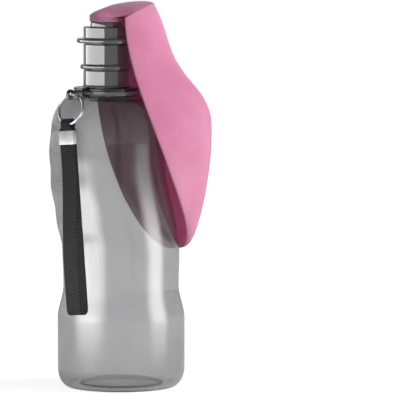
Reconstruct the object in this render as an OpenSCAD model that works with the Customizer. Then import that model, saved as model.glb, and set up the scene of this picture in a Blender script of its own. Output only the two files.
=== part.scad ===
// Dog travel water bottle: a leaning squeeze bottle, a screw cap, a turning valve ring, a spout
// and a silicone leaf that folds down over the bottle and opens upwards as a drinking trough.
// The origin is at the middle of the base, +Z is up and +X points to the folded leaf.

/* [Bottle] */
// Height of the shoulder, where the neck starts
shoulder_z = 190.2; // [182:0.2:200]
// Distance that the neck stands back from the middle of the base
neck_offset = 10.5; // [4:0.5:14]
// Height where the bottle starts to lean back
lean_low_z = 80; // [70:1:95]
// Height where the lean ends
lean_high_z = 152; // [130:1:160]
// Radius of the straight foot
foot_r = 41.4; // [38:0.2:44]
// Height of the top of the straight foot
foot_top_z = 45; // [35:1:52]
// Radius of the waist
waist_r = 37.6; // [34:0.2:40]
// Height of the waist
waist_z = 66; // [60:1:72]
// Radius of the belly
belly_r = 38.9; // [36:0.1:41]
// Height of the belly
belly_z = 108; // [98:1:118]
// Radius of the chest, where the shoulder starts to round in
chest_r = 37.2; // [34:0.2:39]
// Height of the chest
chest_z = 160; // [150:1:168]
// Radius of the shoulder's flat top
top_r = 21.6; // [20:0.2:24]
// Thickness of the bottle's wall
wall = 1.6; // [1.2:0.1:2.4]
// Inner radius of the ring that the bottle stands on
stand_in_r = 26; // [20:0.5:29]
// Outer radius of the ring that the bottle stands on
stand_out_r = 32.5; // [30:0.5:36]
// Height of the rounded corner above that ring
corner_h = 12.5; // [8:0.5:18]
// Height of the dome under the base
dome_h = 5; // [3:0.5:8]

/* [Finger grip] */
// Number of finger hollows in the back
grip_count = 4; // [2:1:5]
// Height of the highest hollow
grip_top_z = 166; // [158:1:170]
// Distance between hollows
grip_pitch = 24; // [18:1:28]
// Depth of a hollow
grip_depth = 1.3; // [0.4:0.1:2]

/* [Neck and cap] */
// Radius of the bottle's neck under the cap's threads
neck_r = 13.2; // [12.6:0.1:13.4]
// Radius of the neck's bore
neck_bore_r = 10.6; // [9:0.1:11.4]
// Height of the neck above the strap collar
neck_h = 8; // [6:0.2:10]
// Outer radius of the cap, the valve ring and the spout head
cap_r = 15; // [14.8:0.1:15.4]
// Radius of the flare round the cap's mouth
cap_flare_r = 16.3; // [16:0.1:16.8]
// Thickness of the cap's deck
deck_t = 2; // [1.4:0.1:2.6]
// Thickness of the gasket between neck and deck
gasket_t = 0.8; // [0.6:0.1:1.4]

/* [Valve] */
// Height of the valve ring
ring_h = 16.6; // [14:0.2:20]
// Radius of the valve ring's flange
ring_flange_r = 17; // [16:0.1:18]
// Thickness of the valve ring's flange
ring_flange_t = 2.9; // [2:0.1:3.6]
// Thickness of the walls of the valve ring and the spout head
shell_t = 1.5; // [1.2:0.1:1.8]
// Thickness of the valve disc
disc_t = 2; // [1.6:0.1:3]
// Thickness of the seal under the valve disc
seal_t = 0.6; // [0.4:0.1:1]
// Radius of a water port
port_r = 2.6; // [1.8:0.1:2.9]
// Distance of the ports from the middle
port_x = 6.8; // [6:0.1:7.2]
// Radius of the centre post
post_r = 2.4; // [2.2:0.1:2.8]
// Running clearance round the centre post
post_play = 0.06; // [0.04:0.01:0.1]

/* [Spout] */
// Height of the spout head
head_h = 11; // [10:0.2:14]
// Radius of the spout head's flange
head_flange_r = 19.3; // [18:0.1:19.4]
// Thickness of the spout head's flange
head_flange_t = 3; // [2:0.1:3.6]
// Radius of the nozzle's collar at its foot
nozzle_r = 10.6; // [10.2:0.1:11]
// Height of the nozzle's collar
nozzle_h = 3; // [2:0.1:4]
// Outer radius of the tube that the leaf's ring grips
tube_r = 8.9; // [8:0.1:9.2]
// Radius of the nozzle's bore
nozzle_bore_r = 6.4; // [5:0.1:6.8]

/* [Leaf] */
// Thickness of the silicone
leaf_t = 2; // [1.6:0.1:2.4]
// Height of the ring that holds the leaf on the nozzle
leaf_ring_h = 3; // [2.4:0.1:4]
// Length of the folded blade from its top corner to its tip
blade_l = 152; // [140:1:156]
// Distance of the blade's top corners from the neck's axis
rim_x = 3; // [2:0.5:5]
// Distance of the blade's tip from the neck's axis
tip_x = 50; // [50:0.5:54]
// Half width of the blade at its top
root_w = 21.8; // [21.6:0.1:24]
// Half width of the blade at its widest
blade_w = 40; // [36:0.5:44]
// Distance of the crest, where the leaf folds, from the neck's axis
crest_x = 33; // [30:0.5:36]
// Distance of the blade's back from the neck's axis where it stands out most
back_x = 75; // [66:1:80]
// Distance that the blade's back has come in at the tip
back_in = 22; // [20:0.5:22]
// Depth of the wave in the blade's back under the fold
back_wave = 4.5; // [0:0.5:5]
// Height that the fold rises from the top corners to the crest
fold_rise = 8.3; // [7:0.1:9.5]
// Height of the hood's bow between its back end and the crest
hood_bow = 3.3; // [2.6:0.1:5]

/* [Strap] */
// Height of the strap collar
collar_t = 5; // [4:0.2:6]
// Outer radius of the strap collar
collar_r = 21.4; // [20:0.2:23]
// Turn of the collar's eyes from the back of the bottle
eye_turn = 22; // [0:1:26]
// Distance of the eyes' holes from the neck's axis
eye_x = 33; // [32.8:0.1:35]
// Half distance between the two eyes
eye_y = 3.1; // [2.8:0.1:3.6]
// Thickness of an eye
eye_t = 1.9; // [1.5:0.1:2.2]
// Outer radius of an eye
eye_r = 3.5; // [3.3:0.1:3.8]
// Radius of an eye's hole
eye_hole_r = 2; // [1.9:0.05:2.1]
// Mean radius of the split ring
split_r = 9.6; // [9.4:0.1:10]
// Radius of the split ring's wire
wire_r = 0.55; // [0.45:0.05:0.6]
// Lean of the split ring away from the bottle
split_lean = 19; // [18.5:0.5:24]
// Width of the webbing
web_w = 12; // [10:0.5:13]
// Width of the webbing where it loops through the split ring
eye_w = 7.4; // [6:0.2:8]
// Thickness of the webbing
web_t = 1.4; // [1:0.1:1.6]
// Length of the strap from the split ring to its lower end
strap_l = 123; // [100:1:126]
// Gap inside the loop near its lower end
loop_gap = 5; // [4:0.2:7]
// Sideways lean of the strap
strap_lean = 5; // [0:0.5:6]
// Width of the crimp
crimp_w = 13.6; // [12.8:0.1:15]
// Height of the crimp
crimp_h = 9; // [7:0.2:11]

/* [Fits] */
// Gap between faces of pieces that turn or lift apart
play = 0.3; // [0.25:0.05:0.4]
// Radial gap between the cap and the neck
cap_play = 0.3; // [0.2:0.05:0.4]

/* [Hidden] */
$fn = 96;

smoke = [0.42, 0.42, 0.44, 0.75];
pink = [0.93, 0.62, 0.74];
steel = [0.75, 0.76, 0.78];
seal_white = [0.88, 0.88, 0.86];

collar_z = shoulder_z + play;
cap_z = collar_z + collar_t + play;
neck_top_z = cap_z + neck_h;
deck_z = neck_top_z + gasket_t;
deck_top_z = deck_z + deck_t;
ring_z = deck_top_z + play;
ring_top_z = ring_z + ring_h;
head_z = ring_top_z + play;
head_top_z = head_z + head_h;
leaf_ring_z = head_top_z + nozzle_h;
leaf_ring_top_z = leaf_ring_z + leaf_ring_h;
hood_z = leaf_ring_top_z + play;
blade_z = hood_z - play;
lap = 0.3;
hair = 0.04;
body_sides = 56;
body_rings = 32;
inner_sides = 40;
inner_rings = 20;
ledge_r = cap_r + 0.2;
flare_h = 1.4;
fixed_play = 0.02;
flange_lift = 0.5;
disc_z = deck_top_z + seal_t;
post_foot_r = post_r + 1.2;
post_foot_t = 1.2;
spigot_r = cap_r - shell_t - 0.08;
spigot_h = 4.5;
groove_drop = 2.2;
o_ring_r = 0.5;
boss_r = 4.2;
boss_t = 2.6;
arm_w = 2.4;
screw_r = 1.2;
screw_l = 8;
screw_head_r = 2.6;
screw_head_h = 1.6;
ledge_t = 1.2;
plug_r = tube_r - 0.5;
hood_r = nozzle_r + 0.4;
hood_back_h = 1.3;
hood_steps = 14;
flare_x = -2.5;
join_s = 0.215;
join_x = mix(rim_x, crest_x, join_s);
back_at = 0.456;
wave_length = 0.34;
wave_end = 0.38;
wide_at = 0.643;
blade_bands = 28;
bow_steps = 20;
rim_curve = 1.7;
back_curve = 1.8;
fold_curve = 1.8;
arch_curve = 1.5;
tip_curve = 2.6;
collar_in_r = ledge_r + play;
eye_z = collar_z + collar_t / 2 - 1;
strap_eye_r = 2;
strap_end = -strap_l + loop_gap / 2 + web_t;
web_back = -0.4;
crimp_top = -4.3;
gather_z = -1.8;
gap_from = -25;
gap_to = -95;
gap_steps = 14;
fold_step = 0.3;
tip_t = 0.998;

// Eases from 0 to 1 with level ends.
function ease(t) = let (c = min(1, max(0, t))) c * c * (3 - 2 * c);
function mix(a, b, t) = a + (b - a) * t;
function share(x, from, to) = (x - from) / (to - from);

function body_x(z) = -neck_offset * ease(share(z, lean_low_z, lean_high_z));
function body_r(z) =
  z < waist_z ? mix(foot_r, waist_r, ease(share(z, foot_top_z, waist_z)))
  : z < belly_z ? mix(waist_r, belly_r, ease(share(z, waist_z, belly_z)))
  : z < chest_z ? mix(belly_r, chest_r, ease(share(z, belly_z, chest_z)))
  : top_r + (chest_r - top_r) * sqrt(max(0, 1 - pow(share(z, chest_z, shoulder_z), 2)));

function grip_wave(z) =
  let (low = grip_top_z - (grip_count - 0.5) * grip_pitch, high = grip_top_z + grip_pitch / 2)
  z < low || z > high ? 0 : (1 + cos(360 * (z - grip_top_z) / grip_pitch)) / 2;
function grip_cut(z, a) = grip_depth * grip_wave(z) * pow(max(0, -cos(a)), 4);

// One ring of the upper bottle, a hair inside the turned foot where they meet.
function body_ring(z, inset, sides) =
  [for (i = [0 : sides - 1])
    let (a = 360 * i / sides, r = body_r(min(z + inset, shoulder_z)) - inset - grip_cut(z, a) - hair)
    [body_x(z) + r * cos(a), r * sin(a), z]];

// The end faces of a ring, folded across it: each point j meets its partner on the other side.
function end_faces(n, first, up) =
  [for (j = [0 : n / 2 - 2], part = [0, 1])
    let (a = first + j, b = first + j + 1, c = first + n - 2 - j, d = first + n - 1 - j,
      face = part == 0 ? [a, b, c] : [a, c, d])
    up ? [face[2], face[1], face[0]] : face];

// A closed skin through a stack of rings with the same even number of points.
module loft(rings) {
  n = len(rings[0]);
  m = len(rings);
  sides = [for (i = [0 : m - 2], j = [0 : n - 1])
    let (a = i * n + j, b = i * n + (j + 1) % n)
    each [[a, a + n, b + n], [a, b + n, b]]];
  ends = concat(end_faces(n, 0, false), end_faces(n, (m - 1) * n, true));
  polyhedron(points = [for (ring = rings) each ring], faces = concat(sides, ends), convexity = 10);
}

// The bottle between waist and shoulder, drawn in by inset.
module upper_bottle(inset, sides, rings) {
  top = shoulder_z - inset;
  loft([for (i = [0 : rings]) body_ring(mix(waist_z, top, sin(90 * i / rings)), inset, sides)]);
}

// The bottle from the base to just above the waist, drawn in by inset.
module lower_bottle(inset) {
  corner_r = foot_r - stand_out_r;
  corner = [for (a = [0 : 7.5 : 90])
    [stand_out_r + (corner_r - inset) * sin(a), inset + (corner_h - inset) * (1 - cos(a))]];
  side = [for (z = [foot_top_z : 3 : waist_z - 0.1]) [body_r(z) - inset, z]];
  dome = [for (a = [0 : 15 : 90]) [(stand_in_r + inset) * cos(a), inset + dome_h * sin(a)]];
  top_in = waist_r - inset - lap;
  rotate_extrude() polygon(concat(corner, side,
    [[waist_r - inset, waist_z], [top_in, waist_z], [top_in, waist_z + lap], [0, waist_z + lap]],
    [for (i = [len(dome) - 1 : -1 : 0]) dome[i]]));
}

module on_neck() {
  translate([-neck_offset, 0, 0]) children();
}

module tube(r_out, r_in, z, h) {
  translate([0, 0, z]) difference() {
    cylinder(r = r_out, h = h);
    translate([0, 0, -1]) cylinder(r = r_in, h = h + 2);
  }
}

module bottle_body() {
  color(smoke) difference() {
    union() {
      lower_bottle(0);
      upper_bottle(0, body_sides, body_rings);
      on_neck() translate([0, 0, shoulder_z - 4]) cylinder(r = ledge_r, h = cap_z - play - shoulder_z + 4);
      on_neck() translate([0, 0, shoulder_z - 4]) cylinder(r = neck_r, h = neck_top_z - shoulder_z + 4);
    }
    lower_bottle(wall);
    upper_bottle(wall, inner_sides, inner_rings);
    on_neck() translate([0, 0, shoulder_z - 8]) cylinder(r = neck_bore_r, h = neck_top_z);
  }
}

module flanged_tube(z, h, flange_r, flange_t) {
  tube(cap_r, cap_r - shell_t, z, h);
  tube(flange_r, cap_r - shell_t, z + flange_lift, flange_t);
}

module ports(z, h, turn) {
  for (side = [0, 180]) rotate([0, 0, side + turn]) translate([port_x, 0, z]) cylinder(r = port_r, h = h);
}

module screw_cap() {
  color(smoke) on_neck() difference() {
    union() {
      translate([0, 0, cap_z]) cylinder(r1 = cap_flare_r, r2 = cap_r, h = flare_h);
      translate([0, 0, cap_z]) cylinder(r = cap_r, h = deck_top_z - cap_z);
    }
    translate([0, 0, cap_z - 1]) cylinder(r = neck_r + cap_play, h = deck_z - cap_z + 1);
    translate([0, 0, deck_z - 1]) cylinder(r = post_r + fixed_play, h = deck_t + 2);
    ports(deck_z - 1, deck_t + 2, 0);
  }
}

module neck_gasket() {
  color(seal_white) on_neck() tube(neck_r, neck_bore_r, neck_top_z, gasket_t);
}

module centre_post() {
  color(steel) on_neck() difference() {
    union() {
      translate([0, 0, deck_z - post_foot_t]) cylinder(r = post_foot_r, h = post_foot_t);
      translate([0, 0, deck_z - 0.1]) cylinder(r = post_r, h = head_z - deck_z + 0.1);
    }
    translate([0, 0, head_z - screw_l]) cylinder(r = screw_r + fixed_play, h = screw_l + 1);
  }
}

module disc_seal() {
  color(seal_white) on_neck() difference() {
    tube(cap_r - shell_t - 1, post_r + post_play, deck_top_z, seal_t);
    ports(deck_top_z - 1, seal_t + 2, 0);
  }
}

module valve_ring() {
  color(smoke) on_neck() {
    flanged_tube(ring_z, ring_h, ring_flange_r, ring_flange_t);
    tube(cap_r - shell_t + 0.2, cap_r - shell_t - 1.4, disc_z + disc_t, ledge_t);
  }
}

// The disc's ports lie a quarter turn from the deck's, so the valve is shut at rest.
module valve_disc() {
  color(seal_white) on_neck() difference() {
    tube(cap_r - shell_t - fixed_play, post_r + post_play, disc_z, disc_t);
    ports(disc_z - 1, disc_t + 2, 90);
  }
}

module head_o_ring() {
  color("dimgray") on_neck() translate([0, 0, head_z - groove_drop])
    rotate_extrude() translate([spigot_r - o_ring_r, 0]) circle(r = o_ring_r, $fn = 24);
}

module spout_head() {
  color(smoke) on_neck() difference() {
    union() {
      flanged_tube(head_z, head_h, head_flange_r, head_flange_t);
      tube(cap_r - 0.5, cap_r - shell_t - 1.6, head_z, ledge_t);
      tube(spigot_r, spigot_r - shell_t, head_z - spigot_h, spigot_h + 0.5);
      translate([0, 0, head_top_z - deck_t]) cylinder(r = cap_r - 0.5, h = deck_t);
      translate([0, 0, head_z]) cylinder(r = boss_r, h = boss_t);
      for (arm = [60 : 120 : 300]) rotate([0, 0, arm])
        translate([0, -arm_w / 2, head_z]) cube([spigot_r - 0.5, arm_w, boss_t - 0.6]);
    }
    translate([0, 0, head_z - 1]) cylinder(r = screw_r + 0.1, h = boss_t + 2);
    translate([0, 0, head_top_z - deck_t - 1]) cylinder(r = plug_r + fixed_play, h = deck_t + 2);
    translate([0, 0, head_z - groove_drop - o_ring_r]) difference() {
      cylinder(r = cap_r, h = 2 * o_ring_r);
      translate([0, 0, -1]) cylinder(r = spigot_r - 2 * o_ring_r, h = 2 * o_ring_r + 2);
    }
  }
}

module post_screw() {
  color(steel) on_neck() {
    translate([0, 0, head_z + boss_t - screw_l]) cylinder(r = screw_r, h = screw_l);
    translate([0, 0, head_z + boss_t]) cylinder(r = screw_head_r, h = screw_head_h);
  }
}

module nozzle() {
  color(smoke) on_neck() difference() {
    union() {
      translate([0, 0, head_top_z - deck_t - 1]) cylinder(r = plug_r, h = deck_t + 1);
      translate([0, 0, head_top_z]) cylinder(r1 = nozzle_r, r2 = nozzle_r - 0.4, h = nozzle_h);
      translate([0, 0, head_top_z]) cylinder(r = tube_r, h = nozzle_h + leaf_ring_h - 0.2);
    }
    translate([0, 0, head_top_z - deck_t - 2])
      cylinder(r = nozzle_bore_r, h = deck_t + nozzle_h + leaf_ring_h + 4);
  }
}

module leaf_ring() {
  color(pink) on_neck() tube(nozzle_r + 0.2, tube_r + fixed_play, leaf_ring_z, leaf_ring_h);
}

// Height of the fold above the top corners, from a corner (s = 0) to the crest (s = 1).
function fold_lift(s) = fold_rise * (1 - pow(1 - s, fold_curve));

// The hood is round over the nozzle, flares to the fold and then follows it to the crest.
function hood_half(x) =
  x < flare_x ? sqrt(hood_r * hood_r - x * x)
  : x < join_x ? mix(sqrt(hood_r * hood_r - flare_x * flare_x), root_w * sqrt(1 - join_s * join_s),
    share(x, flare_x, join_x))
  : root_w * sqrt(1 - pow(share(x, rim_x, crest_x), 2));
function hood_low(x) = hood_z + (x < join_x
  ? fold_lift(join_s) * max(0, share(x, flare_x, join_x))
  : fold_lift(share(x, rim_x, crest_x)));
function hood_top(x) =
  let (p = share(x, -hood_r, crest_x))
  hood_z + mix(hood_back_h, fold_rise, p) + hood_bow * sqrt(sin(180 * p));

// One end-on band of the hood at x: the outer arch, then the inner arch back.
function hood_band(x) =
  let (w = hood_half(x), low = hood_low(x), h = hood_top(x) - low,
    in_w = max(w - leaf_t, 0.4 * w), in_h = max(h - leaf_t, 0.15 * h))
  concat([for (i = [0 : hood_steps]) arch_point(x, w, h, low, 180 * i / hood_steps)],
    [for (i = [hood_steps : -1 : 0]) arch_point(x, in_w, in_h, low, 180 * i / hood_steps)]);
function arch_point(x, w, h, low, b) = [x, w * cos(b), low + h * pow(max(0, sin(b)), arch_curve)];

// The hood covers the nozzle and ends at the fold.
module leaf_root() {
  stations = concat([for (a = [20 : 12 : 68]) -hood_r * cos(a)],
    [for (i = [0 : 4]) mix(flare_x, join_x, i / 4)],
    [for (i = [1 : 9]) mix(join_x, crest_x, sin(74 * i / 9))]);
  color(pink) on_neck() loft([for (x = stations) hood_band(x)]);
}

// Shape of the folded blade along t, from the fold (0) to the tip (1).
function blade_rim(t) = mix(rim_x, tip_x, pow(t, rim_curve));
function blade_wave(t) = t < wave_end ? back_wave * sin(360 * t / wave_length) * (1 - t / wave_end) : 0;
function blade_back(t) = blade_wave(t) + (t < back_at
  ? mix(crest_x, back_x, ease(t / back_at))
  : back_x - back_in * pow(share(t, back_at, 1), back_curve));
function blade_half(t) = t < wide_at
  ? mix(root_w, blade_w, ease(t / wide_at))
  : blade_w * pow(1 - pow(share(t, wide_at, 1), tip_curve), 1 / tip_curve);

// A point on a bow across the blade at t, from one edge (b = -90) to the other (b = 90), drawn in by inset.
function blade_point(t, b, inset) =
  let (deep = max(blade_back(t) - blade_rim(t), leaf_t + 0.3), x = (deep - inset) * cos(b),
    lift = fold_lift(max(0, x) / deep) * (1 - ease(t / fold_step)))
  [blade_rim(t) + x, (blade_half(t) - inset) * sin(b), blade_z - blade_l * t + lift];

// One band across the blade: the outer bow from edge to edge, then the inner bow back.
function blade_band(t) = concat(
  [for (i = [0 : bow_steps]) blade_point(t, 180 * i / bow_steps - 90, 0)],
  [for (i = [bow_steps : -1 : 0]) blade_point(t, 180 * i / bow_steps - 90, leaf_t)]);

// The blade hangs from the fold and cups the bottle, open side to it.
module leaf_blade() {
  color(pink) on_neck()
    loft([for (i = [blade_bands : -1 : 0]) blade_band(tip_t * sin(90 * i / blade_bands))]);
}

// Turns from the neck's axis to the eyes, with x outwards.
module at_eyes() {
  on_neck() rotate([0, 0, 180 + eye_turn]) children();
}

module strap_collar() {
  color("dimgray") at_eyes() difference() {
    union() {
      difference() {
        tube(collar_r, collar_in_r, collar_z, collar_t);
        translate([0, -eye_y, collar_z - 1]) cube([collar_r + 1, 2 * eye_y, collar_t + 2]);
      }
      for (side = [-1, 1]) translate([0, side * eye_y - eye_t / 2, 0]) {
        translate([collar_in_r + 1, 0, collar_z]) cube([eye_x - collar_in_r - 1, eye_t, collar_t - 1]);
        translate([eye_x, 0, eye_z]) rotate([-90, 0, 0]) cylinder(r = eye_r, h = eye_t);
      }
    }
    translate([eye_x, -eye_y - eye_t, eye_z]) rotate([-90, 0, 0])
      cylinder(r = eye_hole_r, h = 2 * (eye_y + eye_t));
    translate([0, 0, collar_z - 1]) cylinder(r = collar_in_r, h = collar_t + 2);
  }
}

// Two turns of wire side by side, hanging through both eyes.
module split_ring() {
  color(steel) at_eyes() translate([eye_x, 0, eye_z]) rotate([0, -split_lean, 0])
    translate([0, 0, -split_r]) rotate([0, 90, 0])
      for (side = [-1, 1]) translate([0, 0, side * (wire_r - 0.05)])
        rotate_extrude() translate([split_r, 0]) circle(r = wire_r, $fn = 24);
}

// Turns to the strap, with its top where the split ring hangs lowest.
module at_strap() {
  at_eyes() translate([eye_x + 2 * split_r * sin(split_lean), 0, eye_z - 2 * split_r * cos(split_lean)])
    rotate([strap_lean, 0, 0]) children();
}

// One face of the back layer, from the loop's lower end up to where the layers meet.
function back_layer(x) =
  [for (i = [gap_steps : -1 : 0]) let (q = mix(gap_from, strap_end, i / gap_steps))
    [x + loop_gap * ease(share(q, gap_from, gap_to)), q]];

// Side outline of the folded webbing: an eye for the split ring, then two layers and a round lower end.
module strap_outline() {
  end = [web_back + web_t + loop_gap / 2, strap_end];
  difference() {
    union() {
      circle(r = strap_eye_r + web_t, $fn = 48);
      translate([web_back, gap_from]) square([2 * web_t, -gap_from - strap_eye_r]);
      polygon(concat([[web_back, gap_from], [web_back, strap_end]], back_layer(web_back + 2 * web_t)));
      translate(end) circle(r = loop_gap / 2 + web_t, $fn = 48);
    }
    circle(r = strap_eye_r, $fn = 48);
    polygon(concat([[web_back + web_t, strap_end]], back_layer(web_back + web_t)));
    translate(end) circle(r = loop_gap / 2, $fn = 48);
  }
}

// Front outline of the webbing, gathered where it loops through the split ring.
module strap_front() {
  low = strap_end - loop_gap;
  half = [[web_w / 2, low], [web_w / 2, crimp_top], [eye_w / 2, gather_z], [eye_w / 2, web_w]];
  polygon(concat(half, [for (i = [len(half) - 1 : -1 : 0]) [-half[i][0], half[i][1]]]));
}

module strap_webbing() {
  color([0.15, 0.15, 0.16]) at_strap() intersection() {
    rotate([90, 0, 0]) linear_extrude(height = web_w, center = true) strap_outline();
    rotate([90, 0, 90]) linear_extrude(height = 4 * web_w, center = true) strap_front();
  }
}

module strap_crimp() {
  thick = 2 * web_t + 1.6;
  color(steel) at_strap() translate([web_back + web_t - thick / 2, 0, crimp_top - crimp_h]) difference() {
    translate([0, -crimp_w / 2, 0]) cube([thick, crimp_w, crimp_h]);
    translate([(thick - 2 * web_t) / 2, -web_w / 2, -1]) cube([2 * web_t, web_w, crimp_h + 2]);
  }
}

bottle_body();
strap_collar();
split_ring();
strap_webbing();
strap_crimp();
screw_cap();
neck_gasket();
centre_post();
disc_seal();
valve_ring();
valve_disc();
head_o_ring();
spout_head();
post_screw();
nozzle();
leaf_ring();
leaf_root();
leaf_blade();
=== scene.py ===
import math

import bmesh
import bpy
from mathutils import Matrix, Vector


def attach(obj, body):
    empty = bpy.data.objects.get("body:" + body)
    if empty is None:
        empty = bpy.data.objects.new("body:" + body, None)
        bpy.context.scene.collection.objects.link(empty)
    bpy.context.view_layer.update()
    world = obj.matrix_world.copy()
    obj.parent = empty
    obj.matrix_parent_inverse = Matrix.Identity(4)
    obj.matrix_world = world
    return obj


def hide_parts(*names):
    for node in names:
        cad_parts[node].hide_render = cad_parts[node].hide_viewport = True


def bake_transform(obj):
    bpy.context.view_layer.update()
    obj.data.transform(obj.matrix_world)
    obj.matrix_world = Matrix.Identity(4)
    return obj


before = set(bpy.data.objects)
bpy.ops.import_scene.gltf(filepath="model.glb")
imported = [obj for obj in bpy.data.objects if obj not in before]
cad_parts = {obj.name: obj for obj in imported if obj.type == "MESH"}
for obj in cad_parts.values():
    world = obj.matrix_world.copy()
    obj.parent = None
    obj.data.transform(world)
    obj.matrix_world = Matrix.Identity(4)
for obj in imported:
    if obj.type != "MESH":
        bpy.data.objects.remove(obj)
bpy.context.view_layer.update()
print("frame loaded")

# All sizes below are millimetres in the shared frame: x from the middle of the base, z up.
mm = 0.001
neckX = -10.5  # the neck's axis
sharpFrom = 40  # degrees between faces that still look like one smooth surface


def ease(t):
    c = min(1.0, max(0.0, t))
    return c * c * (3 - 2 * c)


def mix(a, b, t):
    return a + (b - a) * t


def share(x, low, high):
    return (x - low) / (high - low)


def cosD(degrees):
    return math.cos(math.radians(degrees))


def sinD(degrees):
    return math.sin(math.radians(degrees))


def evenly(low, high, steps):
    return [mix(low, high, k / steps) for k in range(steps + 1)]


def addObject(name, data):
    obj = bpy.data.objects.new(name, data)
    bpy.context.scene.collection.objects.link(obj)
    return obj


# camera first
photo = {"aim": (44.5, -25.7, 121.6), "azimuth": -30, "elevation": 5.0, "distance": 3000, "width": 260,
         "sensor": 36}


def addCamera():
    az, el = photo["azimuth"], photo["elevation"]
    look = Vector((-sinD(az) * cosD(el), cosD(az) * cosD(el), -sinD(el)))
    data = bpy.data.cameras.new("camera")
    data.sensor_width = photo["sensor"]
    data.lens = photo["sensor"] * photo["distance"] / photo["width"]
    data.clip_end = 50
    cam = addObject("camera", data)
    cam.location = Vector(photo["aim"]) * mm - look * photo["distance"] * mm
    cam.rotation_euler = look.to_track_quat("-Z", "Y").to_euler()
    bpy.context.scene.camera = cam


addCamera()
print("camera placed")


# mesh helpers, all taking millimetres
def outward(mesh, near=1e-7):
    work = bmesh.new()
    work.from_mesh(mesh)
    bmesh.ops.remove_doubles(work, verts=work.verts, dist=near)
    bmesh.ops.recalc_face_normals(work, faces=work.faces)
    work.to_mesh(mesh)
    work.free()


def finishPiece(name, mesh, material, angle=sharpFrom):
    mesh.materials.clear()
    mesh.materials.append(material)
    mesh.shade_smooth()
    mesh.set_sharp_from_angle(angle=math.radians(angle))
    return addObject(name, mesh)


def meshPiece(name, points, faces, material, uvs=None, angle=sharpFrom):
    mesh = bpy.data.meshes.new(name)
    mesh.from_pydata([tuple(c * mm for c in p) for p in points], [], faces)
    if uvs:
        layer = mesh.uv_layers.new(name="UVMap")
        for loop in mesh.loops:
            layer.data[loop.index].uv = uvs[loop.vertex_index]
    outward(mesh)
    return finishPiece(name, mesh, material, angle)


def joinMeshes(name, parts, material):
    work = bmesh.new()
    for part in parts:
        work.from_mesh(part.data)
    mesh = bpy.data.meshes.new(name)
    work.to_mesh(mesh)
    work.free()
    for part in parts:
        bpy.data.objects.remove(part)
    return finishPiece(name, mesh, material)


# the plain mesh that an object's modifiers or curve make
def plainMesh(obj):
    graph = bpy.context.evaluated_depsgraph_get()
    return bpy.data.meshes.new_from_object(obj.evaluated_get(graph))


# a finished piece from a carrier object, whose own shape is in millimetres
def settle(name, carrier, material, place, near=1e-7):
    mesh = plainMesh(carrier)
    bpy.data.objects.remove(carrier)
    mesh.transform(place)
    mesh.transform(Matrix.Scale(mm, 4))
    outward(mesh, near)
    return finishPiece(name, mesh, material)


# moves a piece's own mesh, and leaves its object at the origin
def seat(piece, place):
    for step in (Matrix.Scale(1 / mm, 4), place, Matrix.Scale(mm, 4)):
        piece.data.transform(step)


def turnBy(degrees, axis):
    return Matrix.Rotation(math.radians(degrees), 4, axis)


# rounds each corner (x, y, fillet) of an outline; a fillet takes less than half of either side
def roundOutline(corners, closed=True, steps=5):
    out = []
    count = len(corners)
    for i, (x, y, fillet) in enumerate(corners):
        if fillet <= 0 or (not closed and i in (0, count - 1)):
            out.append((x, y))
            continue
        here = Vector((x, y))
        a = Vector(corners[i - 1][:2]) - here
        b = Vector(corners[(i + 1) % count][:2]) - here
        half = a.angle(b) / 2
        cut = min(fillet / math.tan(half), a.length * 0.49, b.length * 0.49)
        radius = cut * math.tan(half)
        a.normalize()
        b.normalize()
        centre = here + (a + b).normalized() * (radius / math.sin(half))
        first, last = here + a * cut - centre, here + b * cut - centre
        turn = math.atan2(first.x * last.y - first.y * last.x, first.dot(last))
        for k in range(steps + 1):
            c, s = math.cos(turn * k / steps), math.sin(turn * k / steps)
            out.append((centre.x + first.x * c - first.y * s, centre.y + first.x * s + first.y * c))
    return out


def box(corner, size, fillet):
    x, y = corner
    w, h = size
    return [(x, y, fillet), (x + w, y, fillet), (x + w, y + h, fillet), (x, y + h, fillet)]


# faces from each ring of points to the next; a ring of one point is a pole, and a loop ends where it starts
def bridge(rings, loop=False):
    faces = []
    for low, high in zip(rings, rings[1:] + (rings[:1] if loop else [])):
        n = max(len(low), len(high))
        for i in range(n):
            j = (i + 1) % n
            if len(low) == 1:
                faces.append((low[0], high[i], high[j]))
            elif len(high) == 1:
                faces.append((low[i], high[0], low[j]))
            else:
                faces.append((low[i], high[i], high[j], low[j]))
    return faces


# turns an outline of (radius, z) points round an upright axis at x
def latheData(outline, sides, x=neckX, closed=True):
    points, rings = [], []
    for r, z in outline:
        if r < 1e-6:
            rings.append([len(points)])
            points.append((x, 0, z))
        else:
            rings.append([len(points) + i for i in range(sides)])
            for i in range(sides):
                a = 2 * math.pi * i / sides
                points.append((x + r * math.cos(a), r * math.sin(a), z))
    return points, bridge(rings, closed)


def lathe(name, corners, material, sides=128):
    points, faces = latheData(roundOutline(corners), sides)
    return meshPiece(name, points, faces, material)


# a section swept along a path; frames are (point, across, up)
def sweepPiece(name, section, frames, material, loop=False, uvs=None):
    n = len(section)
    points = [tuple(spot + across * u + up * v) for spot, across, up in frames for u, v in section]
    rings = [[k * n + i for i in range(n)] for k in range(len(frames))]
    faces = bridge(rings, loop)
    if not loop:
        faces += [tuple(rings[0]), tuple(reversed(rings[-1]))]
    return meshPiece(name, points, faces, material, uvs)


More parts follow.
